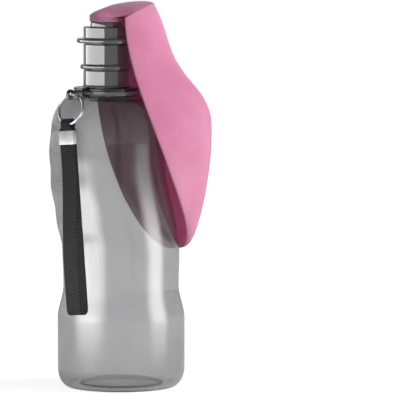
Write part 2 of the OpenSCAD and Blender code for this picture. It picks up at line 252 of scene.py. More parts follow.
# a flat plate from outlines (holes included), with rounded edges, lying in local x-y and thick along z
def platePiece(name, outlines, thick, bevel, material, place):
    curve = bpy.data.curves.new(name, "CURVE")
    curve.dimensions = "2D"
    curve.fill_mode = "BOTH"
    curve.extrude = thick / 2 - bevel
    curve.bevel_depth = bevel
    curve.bevel_resolution = 2
    curve.offset = -bevel
    for outline in outlines:
        spline = curve.splines.new("POLY")
        spline.points.add(len(outline) - 1)
        for point, (x, y) in zip(spline.points, outline):
            point.co = (x, y, 0, 1)
        spline.use_cyclic_u = True
    piece = settle(name, addObject(name, curve), material, place, near=1e-6)
    bpy.data.curves.remove(curve)
    return piece


# cuts upright round holes through a piece
def drill(obj, holes, radius, low, high, sides=32):
    outline = [(0, low), (radius, low), (radius, high), (0, high)]
    for x, y in holes:
        points, faces = latheData(outline, sides, x, closed=False)
        points = [(px, py + y, pz) for px, py, pz in points]
        cutter = meshPiece("cutter", points, faces, obj.data.materials[0])
        mod = obj.modifiers.new("drill", "BOOLEAN")
        mod.operation = "DIFFERENCE"
        mod.solver = "EXACT"
        mod.object = cutter
        mesh = plainMesh(obj)
        obj.modifiers.remove(mod)
        outward(mesh)
        obj.data = mesh
        bpy.data.objects.remove(cutter)
    obj.data.shade_smooth()
    obj.data.set_sharp_from_angle(angle=math.radians(sharpFrom))


def dress(piece, nodes, body):
    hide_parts(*nodes)
    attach(piece, body)


# nodes that materials, wires, world and lamps share
def mathNode(tree, operation, *values):
    made = tree.nodes.new("ShaderNodeMath")
    made.operation = operation
    for socket, value in zip(made.inputs, values):
        if isinstance(value, (int, float)):
            socket.default_value = value
        else:
            tree.links.new(value, socket)
    return made.outputs[0]


def spanNode(tree, value, fromLow, fromHigh, low=0, high=1, smooth=False):
    made = tree.nodes.new("ShaderNodeMapRange")
    if smooth:
        made.interpolation_type = "SMOOTHSTEP"
    for label, number in (("From Min", fromLow), ("From Max", fromHigh), ("To Min", low), ("To Max", high)):
        made.inputs[label].default_value = number
    tree.links.new(value, made.inputs["Value"])
    return made.outputs["Result"]


# materials
class Shader:
    def __init__(self, name):
        self.material = bpy.data.materials.new(name)
        self.material.use_nodes = True
        self.tree = self.material.node_tree
        self.principled = self.tree.nodes["Principled BSDF"]
        self.output = self.tree.nodes["Material Output"]
        self.coords = self.node("ShaderNodeTexCoord")

    def node(self, kind, **settings):
        made = self.tree.nodes.new(kind)
        for key, value in settings.items():
            setattr(made, key, value)
        return made

    def link(self, a, b):
        self.tree.links.new(a, b)

    # fixed values go on the shader's own sockets, with _ for a space in their names
    def set(self, **values):
        for key, value in values.items():
            self.principled.inputs[key.replace("_", " ")].default_value = value

    def feed(self, **sources):
        for key, source in sources.items():
            self.link(source, self.principled.inputs[key.replace("_", " ")])

    def noise(self, scale, detail=3.0, stretch=None):
        made = self.node("ShaderNodeTexNoise")
        made.inputs["Scale"].default_value = scale
        made.inputs["Detail"].default_value = detail
        made.inputs["Roughness"].default_value = 0.55
        source = self.coords.outputs["Object"]
        if stretch:
            mapping = self.node("ShaderNodeMapping")
            mapping.inputs["Scale"].default_value = stretch
            self.link(source, mapping.inputs["Vector"])
            source = mapping.outputs["Vector"]
        self.link(source, made.inputs["Vector"])
        return made.outputs["Fac"]

    def span(self, value, low, high, fromLow=0.35, fromHigh=0.65):
        return spanNode(self.tree, value, fromLow, fromHigh, low, high)

    def math(self, operation, *values):
        return mathNode(self.tree, operation, *values)

    # a colour, or another node's output, on either side
    def blendColour(self, fac, a, b):
        made = self.node("ShaderNodeMix", data_type="RGBA")
        self.link(fac, made.inputs[0])
        for socket, value in ((made.inputs[6], a), (made.inputs[7], b)):
            if isinstance(value, tuple):
                socket.default_value = (*value, 1)
            else:
                self.link(value, socket)
        return made.outputs[2]

    def mottle(self, light, dark, scale, detail=3.0):
        return self.blendColour(self.span(self.noise(scale, detail), 0, 1), light, dark)

    def bump(self, height, strength, distance):
        made = self.node("ShaderNodeBump")
        made.inputs["Strength"].default_value = strength
        made.inputs["Distance"].default_value = distance
        self.link(height, made.inputs["Height"])
        self.feed(Normal=made.outputs["Normal"])


def srgb(r, g, b):
    return tuple(((c / 255 + 0.055) / 1.055) ** 2.4 if c > 10 else c / 255 / 12.92 for c in (r, g, b))


# see-through smoke plastic: part of its tint is in the surface, the rest is absorbed along the wall
def smokeGlass(name, tint, roughness, absorb):
    s = Shader(name)
    s.set(IOR=1.47, Transmission_Weight=1.0, Specular_IOR_Level=0.1, Coat_Weight=0.5, Coat_IOR=1.5,
          Coat_Roughness=0.14)
    s.feed(Base_Color=s.mottle(tint, tuple(c * 0.95 for c in tint), scale=35))
    s.feed(Roughness=s.span(s.noise(220, 4), roughness, roughness + 0.006))
    s.bump(s.noise(40, 1), strength=0.04, distance=0.0002)
    inside = s.node("ShaderNodeVolumeAbsorption")
    inside.inputs["Color"].default_value = (0.2, 0.2, 0.2, 1)
    inside.inputs["Density"].default_value = absorb
    s.link(inside.outputs[0], s.output.inputs["Volume"])
    return s.material


# smoke plastic of the cap's rings: nearly opaque, with a hard shine
def smokeRing(name, tint, roughness, transmission):
    s = Shader(name)
    s.set(IOR=1.47, Transmission_Weight=transmission, Coat_Weight=1.0, Coat_IOR=1.75, Coat_Roughness=0.04)
    s.feed(Base_Color=s.mottle(tint, tuple(c * 0.9 for c in tint), scale=35))
    s.feed(Roughness=s.span(s.noise(220, 4), roughness, roughness + 0.05))
    s.bump(s.noise(60, 2), strength=0.06, distance=0.0002)
    return s.material


def silicone(name, light, deep):
    s = Shader(name)
    s.feed(Base_Color=s.mottle(light, deep, scale=28, detail=4))
    s.set(IOR=1.42, Subsurface_Weight=0.8, Subsurface_Scale=0.006, Subsurface_Radius=(1.0, 0.84, 0.92),
          Sheen_Weight=0.15, Sheen_Roughness=0.4)
    s.feed(Roughness=s.span(s.noise(300, 3), 0.42, 0.56))
    s.bump(s.noise(1600, 2), strength=0.25, distance=0.0001)
    return s.material


def plastic(name, light, dark, roughness, grain=900):
    s = Shader(name)
    s.feed(Base_Color=s.mottle(light, dark, scale=60, detail=4))
    s.set(IOR=1.5)
    s.feed(Roughness=s.span(s.noise(320, 3), roughness, roughness + 0.14))
    s.bump(s.noise(grain, 2), strength=0.3, distance=0.0001)
    return s.material


# smoke plastic of the collar: a lighter band under a painted shadow along its top, split by height in metres
def collarSmokeAndShadow(name, shadowGapFrom=0.1931, shadowGapTo=0.1935):
    s = Shader(name)
    place = s.node("ShaderNodeSeparateXYZ")
    s.link(s.coords.outputs["Object"], place.inputs[0])
    band = s.mottle(srgb(112, 112, 113), srgb(98, 98, 99), scale=70)
    # painted shadow: rim is the shadow gap under the cap, painted nearly black on the collar's top
    rim = s.span(place.outputs[2], 0, 1, shadowGapFrom, shadowGapTo)
    s.feed(Base_Color=s.blendColour(rim, band, srgb(34, 34, 36)))
    s.set(IOR=1.5, Coat_Weight=0.6, Coat_Roughness=0.08)
    s.feed(Roughness=s.span(s.noise(320, 3), 0.22, 0.34))
    s.bump(s.noise(700, 2), strength=0.2, distance=0.00006)
    return s.material


def metal(name, light, dark, roughness):
    s = Shader(name)
    s.feed(Base_Color=s.mottle(light, dark, scale=120, detail=4))
    s.set(Metallic=1.0)
    s.feed(Roughness=s.span(s.noise(900, 3, stretch=(1, 1, 6)), roughness, roughness + 0.12))
    s.bump(s.noise(2500, 2, stretch=(1, 1, 5)), strength=0.15, distance=0.00004)
    return s.material


# twill over the strap's own UV: u runs across in millimetres, v along
def webbingTwill(name, lighter, darker, slantU=0.3, slantV=0.42):
    s = Shader(name)
    place = s.node("ShaderNodeSeparateXYZ")
    s.link(s.coords.outputs["UV"], place.inputs[0])
    u, v = place.outputs[0], place.outputs[1]
    slant = s.math("ADD", s.math("MULTIPLY", u, slantU), s.math("MULTIPLY", v, slantV))
    warp = s.math("PINGPONG", u, 0.5)
    rib = s.math("PINGPONG", slant, 0.5)
    weave = s.math("ADD", s.math("MULTIPLY", rib, 1.3), s.math("MULTIPLY", warp, 0.5))
    fuzz = s.noise(2200, 4)
    height = s.math("ADD", weave, s.math("MULTIPLY", fuzz, 0.35))
    s.feed(Base_Color=s.blendColour(s.span(height, 0, 1, 0.25, 1.0), darker, lighter))
    s.set(Sheen_Weight=0.05, Sheen_Roughness=0.5, Specular_IOR_Level=0.2)
    s.feed(Roughness=s.span(fuzz, 0.65, 0.85))
    s.bump(height, strength=0.9, distance=0.0003)
    return s.material


smokePlastic = smokeGlass("smokePlastic", srgb(232, 232, 233), roughness=0.0, absorb=250)
smokeCap = smokeRing("smokeCap", srgb(98, 98, 99), roughness=0.05, transmission=0.4)
pinkSilicone = silicone("siliconePink", srgb(226, 144, 176), srgb(216, 132, 165))
collarPlastic = collarSmokeAndShadow("collarSmokeAndShadow")
whitePlastic = plastic("whitePlastic", srgb(225, 225, 222), srgb(208, 208, 205), 0.32)
sealRubber = plastic("sealRubber", srgb(216, 216, 212), srgb(196, 196, 192), 0.5, grain=1400)
darkRubber = plastic("darkRubber", srgb(46, 46, 48), srgb(32, 32, 34), 0.5, grain=1400)
ringSteel = metal("ringSteel", srgb(205, 206, 208), srgb(176, 178, 180), 0.16)
crimpMetal = metal("crimpMetal", srgb(200, 200, 200), srgb(176, 176, 176), 0.46)
twill = webbingTwill("webbingTwill", srgb(54, 54, 56), srgb(8, 8, 9))
print("materials made")


# geometry nodes
def nodeTree(name, values):
    tree = bpy.data.node_groups.new(name, "GeometryNodeTree")
    tree.interface.new_socket("Geometry", in_out="OUTPUT", socket_type="NodeSocketGeometry")
    ids = {}
    for label, value in values.items():
        socket = tree.interface.new_socket(label, in_out="INPUT", socket_type="NodeSocketFloat")
        socket.default_value = value
        ids[label] = socket.identifier
    return tree, ids


# a round wire wound on a cylinder: pitch per turn, or two flat turns with one short step between them
wire = {"count": 240, "sides": 14, "stepFrom": 0.9, "stepTo": 1.06}


def windTree(name, values, material, stepped):
    tree, ids = nodeTree(name, values)
    new, join = tree.nodes.new, tree.links.new
    given = new("NodeGroupInput")
    line = new("GeometryNodeCurvePrimitiveLine")
    resample = new("GeometryNodeResampleCurve")
    resample.inputs["Count"].default_value = wire["count"]
    join(line.outputs[0], resample.inputs["Curve"])
    spot = new("GeometryNodeSplineParameter")

    def times(a, b):
        return mathNode(tree, "MULTIPLY", a, b)

    turned = times(spot.outputs["Factor"], given.outputs["Turns"])
    angle = times(turned, 2 * math.pi)
    rise = spanNode(tree, turned, wire["stepFrom"], wire["stepTo"], smooth=True) if stepped else turned
    combine = new("ShaderNodeCombineXYZ")
    join(times(mathNode(tree, "COSINE", angle), given.outputs["Radius"]), combine.inputs[0])
    join(times(mathNode(tree, "SINE", angle), given.outputs["Radius"]), combine.inputs[1])
    join(times(rise, given.outputs["Pitch"]), combine.inputs[2])
    move = new("GeometryNodeSetPosition")
    join(resample.outputs[0], move.inputs["Geometry"])
    join(combine.outputs[0], move.inputs["Position"])
    circle = new("GeometryNodeCurvePrimitiveCircle")
    circle.inputs["Resolution"].default_value = wire["sides"]
    join(given.outputs["Wire"], circle.inputs["Radius"])
    sweep = new("GeometryNodeCurveToMesh")
    sweep.inputs["Fill Caps"].default_value = True
    join(move.outputs[0], sweep.inputs["Curve"])
    join(circle.outputs[0], sweep.inputs["Profile Curve"])
    real = new("GeometryNodeRealizeInstances")
    paint = new("GeometryNodeSetMaterial")
    paint.inputs["Material"].default_value = material
    out = new("NodeGroupOutput")
    join(sweep.outputs[0], real.inputs[0])
    join(real.outputs[0], paint.inputs["Geometry"])
    join(paint.outputs[0], out.inputs[0])
    return tree, ids


def windPiece(name, values, material, place, stepped=False):
    tree, ids = windTree(name + "Nodes", values, material, stepped)
    carrier = addObject(name, bpy.data.meshes.new(name))
    mod = carrier.modifiers.new("wind", "NODES")
    mod.node_group = tree
    for label, value in values.items():
        mod[ids[label]] = float(value)
    return settle(name, carrier, material, place)


# bottle
bottle = {
    "shoulder": 190.2, "leanLow": 80, "leanHigh": 152,
    "foot": 41.4, "footTop": 45, "waist": 37.6, "waistZ": 66, "belly": 38.9, "bellyZ": 108,
    "chest": 37.2, "chestZ": 160, "top": 21.6, "wall": 1.6,
    "standIn": 26, "standOut": 32.5, "standFillet": 0.9, "cornerH": 12.5, "domeH": 5,
    "topIn": 2, "ledge": 15.2, "ledgeTop": 195.5, "neck": 13.2, "bore": 10.6, "neckTop": 203.8,
    "gripTop": 166, "gripPitch": 24, "gripDepth": 1.3, "grips": 4, "gripNarrow": 4,
    "sides": 160, "rows": 77, "rowStep": 1.5, "footFrom": 16, "footStep": 4, "footArc": 6, "topArc": 3,
}
thread = {"turns": 1.75, "pitch": 2.6, "height": 0.22, "sunk": 0.15, "foot": 197.3}


def bodyX(z):
    return neckX * ease(share(z, bottle["leanLow"], bottle["leanHigh"]))


def bodyR(z):
    b = bottle
    if z < b["waistZ"]:
        return mix(b["foot"], b["waist"], ease(share(z, b["footTop"], b["waistZ"])))
    if z < b["bellyZ"]:
        return mix(b["waist"], b["belly"], ease(share(z, b["waistZ"], b["bellyZ"])))
    return mix(b["belly"], b["chest"], ease(share(z, b["bellyZ"], b["chestZ"])))


# finger hollows: 1 in the middle of each, 0 between them
def gripWave(z):
    low = bottle["gripTop"] - (bottle["grips"] - 0.5) * bottle["gripPitch"]
    high = bottle["gripTop"] + bottle["gripPitch"] / 2
    if z < low or z > high:
        return 0
    return (1 + math.cos(2 * math.pi * (z - bottle["gripTop"]) / bottle["gripPitch"])) / 2


# one wall of the bottle from the middle of its base up to the shoulder, drawn in by inset
def wallOutline(inset):
    b = bottle
    dome = [((b["standIn"] + inset) * cosD(a), inset + b["domeH"] * sinD(a))
            for a in range(90, 0, -b["footArc"])]
    dome[0] = (0, dome[0][1])
    corner = [(b["standOut"] + (b["foot"] - b["standOut"] - inset) * sinD(a),
               inset + (b["cornerH"] - inset) * (1 - cosD(a))) for a in range(0, 91, b["footArc"])]
    side = [(b["foot"] - inset, z) for z in range(b["footFrom"], b["footTop"], b["footStep"])]
    side += [(bodyR(z) - inset, z) for z in [b["footTop"] + b["rowStep"] * k for k in range(b["rows"])]]
    rise = b["shoulder"] - b["chestZ"]
    top = [(b["top"] + (b["chest"] - b["top"]) * cosD(a) - inset,
            b["chestZ"] + rise * sinD(a) - inset * sinD(a)) for a in range(0, 91, b["topArc"])]
    foot = roundOutline([(*dome[-1], 0), (b["standIn"] + inset, inset, b["standFillet"]),
                         (b["standOut"], inset, 0)], False)[1:-1]
    return dome + foot + corner + side + top


def bottlePiece():
    b = bottle
    under = b["shoulder"] - b["wall"]
    neck = roundOutline([(b["top"] - b["topIn"], b["shoulder"], 0), (b["ledge"], b["shoulder"], 0.7),
                         (b["ledge"], b["ledgeTop"], 0.4), (b["neck"], b["ledgeTop"], 0.3),
                         (b["neck"], b["neckTop"], 0.6), (b["bore"], b["neckTop"], 0.6),
                         (b["bore"], under, 1.2), (b["top"] - b["wall"] - b["topIn"], under, 0)], False)
    outline = wallOutline(0) + neck + wallOutline(b["wall"])[::-1]
    points, rings = [], []
    n = b["sides"]
    for r, z in outline:
        if r < 1e-6:
            rings.append([len(points)])
            points.append((0, 0, z))
            continue
        rings.append([len(points) + i for i in range(n)])
        for i in range(n):
            a = 2 * math.pi * i / n
            rr = r - b["gripDepth"] * gripWave(z) * max(0, -math.cos(a)) ** b["gripNarrow"]
            points.append((bodyX(z) + rr * math.cos(a), rr * math.sin(a), z))
    shell = meshPiece("bottleShell", points, bridge(rings), smokePlastic)
    dress(shell, ["bottle_body"], "bottle")
    t = thread
    values = {"Turns": t["turns"], "Radius": b["neck"] - t["sunk"], "Pitch": t["pitch"],
              "Wire": t["height"] + t["sunk"]}
    ridge = windPiece("neckThread", values, smokePlastic, Matrix.Translation((neckX, 0, t["foot"])))
    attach(ridge, "bottle")


bottlePiece()
print("bottle made")


# cap, with two water ports through its deck
capPart = {"low": 195.8, "flare": 16.3, "flareH": 1.4, "radius": 15, "bore": 13.5, "deckLow": 204.6,
           "deckTop": 206.6, "postHole": 2.42, "portR": 2.6, "portAway": 6.8, "portPast": 1}


def capPiece():
    c = capPart
    cap = lathe("capShell", [
        (c["bore"], c["low"], 0.5), (c["flare"], c["low"], 0.5), (c["radius"], c["low"] + c["flareH"], 0.8),
        (c["radius"], c["deckTop"], 0.5), (c["postHole"], c["deckTop"], 0), (c["postHole"], c["deckLow"], 0),
        (c["bore"], c["deckLow"], 0.4)], smokeCap)
    spots = [(neckX + side * c["portAway"], 0) for side in (1, -1)]
    drill(cap, spots, c["portR"], c["deckLow"] - c["portPast"], c["deckTop"] + c["portPast"])
    dress(cap, ["screw_cap"], "cap")


# the ring that turns the valve, with a lip inside for the disc
ringPart = {"low": 206.9, "top": 223.5, "flange": 17, "flangeLow": 207.4, "flangeT": 2.9, "radius": 15,
            "inner": 13.5, "lip": 12.1, "lipLow": 209.2, "lipTop": 210.4}


def valveRingPiece():
    r = ringPart
    flangeTop = r["flangeLow"] + r["flangeT"]
    ring = lathe("valveRing", [
        (r["inner"], r["low"], 0.4), (r["radius"], r["low"], 0.3), (r["radius"], r["flangeLow"], 0.1),
        (r["flange"], r["flangeLow"], 0.9), (r["flange"], flangeTop, 1.1), (r["radius"], flangeTop, 0.6),
        (r["radius"], r["top"], 0.5), (r["inner"], r["top"], 0.4), (r["inner"], r["lipTop"], 0.1),
        (r["lip"], r["lipTop"], 0.3), (r["lip"], r["lipLow"], 0.3), (r["inner"], r["lipLow"], 0.1)],
        smokeCap)
    dress(ring, ["valve_ring"], "valve")


# spout head: a spigot with a seal groove, and three arms that carry the screw's boss
headPart = {
    "low": 223.8, "top": 234.8, "flange": 19.3, "flangeLow": 224.3, "flangeT": 3, "radius": 15,
    "inner": 13.5, "spigot": 13.42, "spigotH": 4.5, "spigotWall": 1.5, "web": 1.2, "roof": 2, "hole": 8.42,
    "groove": 12.42, "grooveLow": 221.1, "grooveTop": 222.1, "boss": 4.2, "bossT": 2.6, "screwHole": 1.3,
    "armW": 2.4, "armT": 2.0, "armFrom": 3.2, "armTo": 12.6, "armTurns": (60, 180, 300),
}


def headPiece():
    h = headPart
    inside, foot = h["spigot"] - h["spigotWall"], h["low"] - h["spigotH"]
    flangeTop, roofLow = h["flangeLow"] + h["flangeT"], h["top"] - h["roof"]
    webTop, bossTop = h["low"] + h["web"], h["low"] + h["bossT"]
    shell = lathe("spoutHead", [
        (inside, foot, 0.3), (h["spigot"], foot, 0.4), (h["spigot"], h["grooveLow"], 0),
        (h["groove"], h["grooveLow"], 0), (h["groove"], h["grooveTop"], 0), (h["spigot"], h["grooveTop"], 0),
        (h["spigot"], h["low"], 0.1), (h["radius"], h["low"], 0.3), (h["radius"], h["flangeLow"], 0.1),
        (h["flange"], h["flangeLow"], 1.0), (h["flange"], flangeTop, 1.2), (h["radius"], flangeTop, 0.6),
        (h["radius"], h["top"], 0.8), (h["hole"], h["top"], 0.2), (h["hole"], roofLow, 0.2),
        (h["inner"], roofLow, 0.6), (h["inner"], webTop, 0.3), (inside, webTop, 0.3)], smokeCap)
    boss = lathe("headBoss", [(h["screwHole"], h["low"], 0.15), (h["boss"], h["low"], 0.4),
                              (h["boss"], bossTop, 0.4), (h["screwHole"], bossTop, 0.15)], smokeCap, 48)
    section = roundOutline(box((-h["armW"] / 2, 0), (h["armW"], h["armT"]), 0.5), True, 3)
    start, up = Vector((neckX, 0, h["low"])), Vector((0, 0, 1))
    arms = []
    for turn in h["armTurns"]:
        out, side = Vector((cosD(turn), sinD(turn), 0)), Vector((-sinD(turn), cosD(turn), 0))
        frames = [(start + out * d, side, up) for d in (h["armFrom"], h["armTo"])]
        arms.append(sweepPiece("headArm", section, frames, smokeCap))
    head = joinMeshes("spoutHeadShell", [shell, boss, *arms], smokeCap)
    dress(head, ["spout_head"], "cap")


nozzlePart = {"radius": 10.6, "low": 234.8, "collarH": 3, "draft": 0.4, "tube": 8.9, "top": 240.6,
              "plug": 8.4, "plugH": 3, "bore": 6.4}


def nozzlePiece():
    n = nozzlePart
    foot, collarTop = n["low"] - n["plugH"], n["low"] + n["collarH"]
    spout = lathe("nozzleShell", [
        (n["bore"], foot, 0.4), (n["plug"], foot, 0.5), (n["plug"], n["low"], 0.05),
        (n["radius"], n["low"], 0.3), (n["radius"] - n["draft"], collarTop, 0.5), (n["tube"], collarTop, 0.2),
        (n["tube"], n["top"], 0.6), (n["bore"], n["top"], 0.5)], smokeCap, 96)
    dress(spout, ["nozzle"], "cap")


capPiece()
valveRingPiece()
headPiece()
nozzlePiece()
print("cap, valve ring, spout head and nozzle made")


# leaf: a hood over the nozzle and a blade that hangs from its fold, in one skin
leaf = {
    "thick": 2.0, "rimX": 3, "tipX": 50, "crestX": 33, "backX": 75, "backIn": 22, "length": 152,
    "rimCurve": 1.7, "backCurve": 1.8, "tipCurve": 2.6,
    "wave": 4.5, "waveLength": 0.34, "waveEnd": 0.38, "foldRise": 8.3, "foldCurve": 1.8, "foldEnd": 0.3,
    "rootW": 21.8, "wide": 40, "backAt": 0.456, "wideAt": 0.643, "hoodZ": 241.1, "bladeZ": 240.8,
    "hoodR": 11, "hoodBackH": 1.3, "hoodBow": 3.3, "archCurve": 0.75, "flareX": -2.5, "joinS": 0.215,
    "leastDeep": 0.3, "leastHalf": 0.05, "leastRoof": 0.15, "lipRound": 0.8,
    "hingeWay": (0.267, 0, -0.964), "hingeFrom": 0.3, "hingeTo": 5.3,
}
# how finely it is meshed: shares of the way out over the hood and down the blade
leafGrid = {
    "front": 44, "corner": (-90, -86, -81.5), "middle": 8, "flare": 8, "back": 24,
    "hood": (0.12, 0.25, 0.38, 0.5, 0.61, 0.71, 0.8, 0.87, 0.92, 0.955, 0.98, 0.993, 1),
    "near": (0, 0.0015, 0.003, 0.005, 0.0075, 0.01, 0.013, 0.016, 0.02, 0.024, 0.029, 0.034, 0.04, 0.048),
    "rows": 88, "last": 0.9995, "lip": (30, 60, 90, 120, 150), "sharpFrom": 50,
}


def foldLift(s):
    return leaf["foldRise"] * (1 - (1 - min(1.0, max(0.0, s))) ** leaf["foldCurve"])


# plan of the hood, drawn in by inset: round over the nozzle, flared to the fold, then along it to the crest
def hoodPlan(inset):
    f = leaf
    radius = f["hoodR"] - inset
    turn = math.acos(f["flareX"] / f["hoodR"])
    return {"joinX": f["rimX"] + (f["crestX"] - f["rimX"] - inset) * f["joinS"],
            "joinY": (f["rootW"] - inset) * math.sqrt(1 - f["joinS"] ** 2), "radius": radius, "turn": turn,
            "flareX": radius * math.cos(turn), "flareY": radius * math.sin(turn)}


def hoodHalf(x, inset):
    h = hoodPlan(inset)
    if x < h["flareX"]:
        return math.sqrt(max(1e-6, h["radius"] * h["radius"] - x * x))
    if x < h["joinX"]:
        return mix(h["flareY"], h["joinY"], share(x, h["flareX"], h["joinX"]))
    s = (x - leaf["rimX"]) / (leaf["crestX"] - leaf["rimX"] - inset)
    return (leaf["rootW"] - inset) * math.sqrt(max(1e-6, 1 - s * s))


def hoodLow(x, inset):
    h = hoodPlan(inset)
    if x < h["joinX"]:
        return leaf["hoodZ"] + foldLift(leaf["joinS"]) * max(0, share(x, h["flareX"], h["joinX"]))
    return leaf["hoodZ"] + foldLift(share(x, leaf["rimX"], leaf["crestX"]))


def hoodPoint(x, y, inset):
    f = leaf
    p = min(1, max(0, share(x, -f["hoodR"], f["crestX"])))
    bow = f["hoodBow"] * math.sqrt(max(0, math.sin(math.pi * p)))
    low, top = hoodLow(x, inset), f["hoodZ"] + mix(f["hoodBackH"], f["foldRise"], p) + bow
    high = max(0, top - low)
    high = max(high - inset, f["leastRoof"] * high) if inset else high
    arch = max(0, 1 - (y / hoodHalf(x, inset)) ** 2) ** f["archCurve"]
    return Vector((x + neckX, y, low + high * arch))


# rim, back and half width of the trough at a share t of the way down
def bladeShape(t):
    f = leaf
    rim = mix(f["rimX"], f["tipX"], t ** f["rimCurve"])
    if t < f["backAt"]:
        back = mix(f["crestX"], f["backX"], ease(t / f["backAt"]))
    else:
        back = f["backX"] - f["backIn"] * share(t, f["backAt"], 1) ** f["backCurve"]
    if t < f["waveEnd"]:
        back += f["wave"] * math.sin(2 * math.pi * t / f["waveLength"]) * (1 - t / f["waveEnd"])
    if t < f["wideAt"]:
        half = mix(f["rootW"], f["wide"], ease(t / f["wideAt"]))
    else:
        half = f["wide"] * max(0, 1 - share(t, f["wideAt"], 1) ** f["tipCurve"]) ** (1 / f["tipCurve"])
    return rim, back, half


def bladePoint(t, a, inset):
    rim, back, half = bladeShape(t)
    deep = max(back - rim, leaf["thick"] + leaf["leastDeep"])
    x = (deep - inset) * math.cos(a)
    lift = foldLift(x / deep) * (1 - ease(t / leaf["foldEnd"]))
    z = leaf["bladeZ"] - leaf["length"] * t + lift
    return Vector((rim + x + neckX, max(half - inset, leaf["leastHalf"]) * math.sin(a), z))


def hoodOutline(inset, front):
    f, g, h = leaf, leafGrid, hoodPlan(inset)
    plan = [(f["rimX"] + (f["crestX"] - f["rimX"] - inset) * math.cos(a), (f["rootW"] - inset) * math.sin(a))
            for a in front]
    flare = list(zip(evenly(h["joinX"], h["flareX"], g["flare"]),
                     evenly(h["joinY"], h["flareY"], g["flare"])))[1:-1]
    back = [(h["radius"] * math.cos(a), h["radius"] * math.sin(a))
            for a in evenly(h["turn"], 2 * math.pi - h["turn"], g["back"])]
    return plan + flare + back + [(x, -y) for x, y in reversed(flare)]


# adds one wall of the leaf to the points; gives its faces and the loop of points along its rim
def leafWall(points, inset, corner, front, rows):
    columns = corner + front + [-a for a in reversed(corner)]
    first, last = len(corner), len(corner) + len(front) - 1
    middle, plan = leafGrid["middle"], hoodOutline(inset, front)
    hood = [[len(points)]]
    points.append(hoodPoint(middle, 0, inset))
    for out in leafGrid["hood"]:
        hood.append([len(points) + i for i in range(len(plan))])
        points.extend(hoodPoint(mix(middle, x, out), y * out, inset) for x, y in plan)
    blade = []
    for t in rows:
        blade.append([len(points) + i for i in range(len(columns))])
        points.extend(bladePoint(t, a, inset) for a in columns)
    faces = bridge(hood)
    seam, top = hood[-1][:len(front)], blade[0][first:last + 1]
    for low, high in [(seam, top)] + list(zip(blade, blade[1:])):
        faces += [(low[i], high[i], high[i + 1], low[i + 1]) for i in range(len(low) - 1)]
    rim = hood[-1][len(front) - 1:] + [hood[-1][0]]
    rim += blade[0][first::-1] + [row[0] for row in blade[1:]] + blade[-1][1:]
    rim += [row[-1] for row in reversed(blade[:-1])] + blade[0][last:-1][::-1]
    return faces, rim


# rounds the edge between the two rims; gives its faces
def leafLip(points, outRim, inRim):
    count = len(outRim)
    lips = []
    for k in range(count):
        p, q = points[outRim[k]], points[inRim[k]]
        along = points[outRim[(k + 1) % count]] - points[outRim[k - 1]]
        out = (p - q).cross(along)
        out = out.normalized() if out.length > 1e-6 else Vector((-1, 0, 0))
        lips.append(((p + q) / 2, (p - q) / 2, out))
    edge = lips[count // 3][2]  # a third of the way round, on the blade: there the lip bulges to the bottle
    sign = -1 if edge.x > 0 else 1
    loops = [outRim]
    for angle in leafGrid["lip"]:
        loops.append([len(points) + i for i in range(count)])
        for middle, across, out in lips:
            bulge = sign * across.length * sinD(angle) * leaf["lipRound"]
            points.append(middle + across * cosD(angle) + out * bulge)
    loops.append(inRim)
    return bridge(loops)


def leafPiece():
    g = leafGrid
    joinA = math.degrees(math.acos(leaf["joinS"]))
    corner = [math.radians(a) for a in g["corner"]]
    front = [math.radians(a) for a in evenly(-joinA, joinA, g["front"])]
    start, n = g["near"][-1], g["rows"]
    rows = [*g["near"], *(mix(start, g["last"], sinD(90 * k / n)) for k in range(1, n + 1))]
    points = []
    outFaces, outRim = leafWall(points, 0, corner, front, rows)
    inFaces, inRim = leafWall(points, leaf["thick"], corner, front, rows)
    faces = outFaces + [tuple(reversed(f)) for f in inFaces] + leafLip(points, outRim, inRim)
    skin = meshPiece("leafSkin", points, faces, pinkSilicone, angle=g["sharpFrom"])
    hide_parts("leaf_root", "leaf_blade")
    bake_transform(skin)


sleeve = {"outer": 10.8, "inner": 8.92, "low": 237.8, "top": 240.8}


def sleevePiece():
    f = sleeve
    band = lathe("leafSleeve", [(f["inner"], f["low"], 0.3), (f["outer"], f["low"], 0.7),
                                (f["outer"], f["top"], 0.5), (f["inner"], f["top"], 0.4)], pinkSilicone, 96)
    dress(band, ["leaf_ring"], "cap")


# the tongue joins the sleeve to the hood
tongue = {"radius": 10.92, "thick": 0.8, "turnFrom": 152, "turnTo": 208, "sunk": 0.5, "above": 1.7,
          "across": 18, "up": 12, "hinge": 11.06, "bendFrom": 0.2404, "bendTo": 0.2416}


def tonguePiece():
    g = tongue
    n, m = g["across"], g["up"]
    turns = evenly(g["turnFrom"], g["turnTo"], n)
    heights = evenly(sleeve["low"] + g["sunk"], sleeve["top"] + g["above"], m)
    points = [(neckX + radius * cosD(a), radius * sinD(a), z)
              for radius in (g["radius"], g["radius"] - g["thick"]) for z in heights for a in turns]

    def at(side, i, j):
        return side * (n + 1) * (m + 1) + j * (n + 1) + i

    faces = [tuple(at(side, *c) for c in ((i, j), (i + 1, j), (i + 1, j + 1), (i, j + 1)))
             for side in (0, 1) for i in range(n) for j in range(m)]
    rim = [(i, 0) for i in range(n)] + [(n, j) for j in range(m)]
    rim += [(i, m) for i in range(n, 0, -1)] + [(0, j) for j in range(m, 0, -1)]
    faces += bridge([[at(side, *c) for c in rim] for side in (0, 1)])
    piece = meshPiece("leafTongue", points, faces, pinkSilicone)
    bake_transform(piece)


leafPiece()
sleevePiece()
tonguePiece()
print("leaf made")


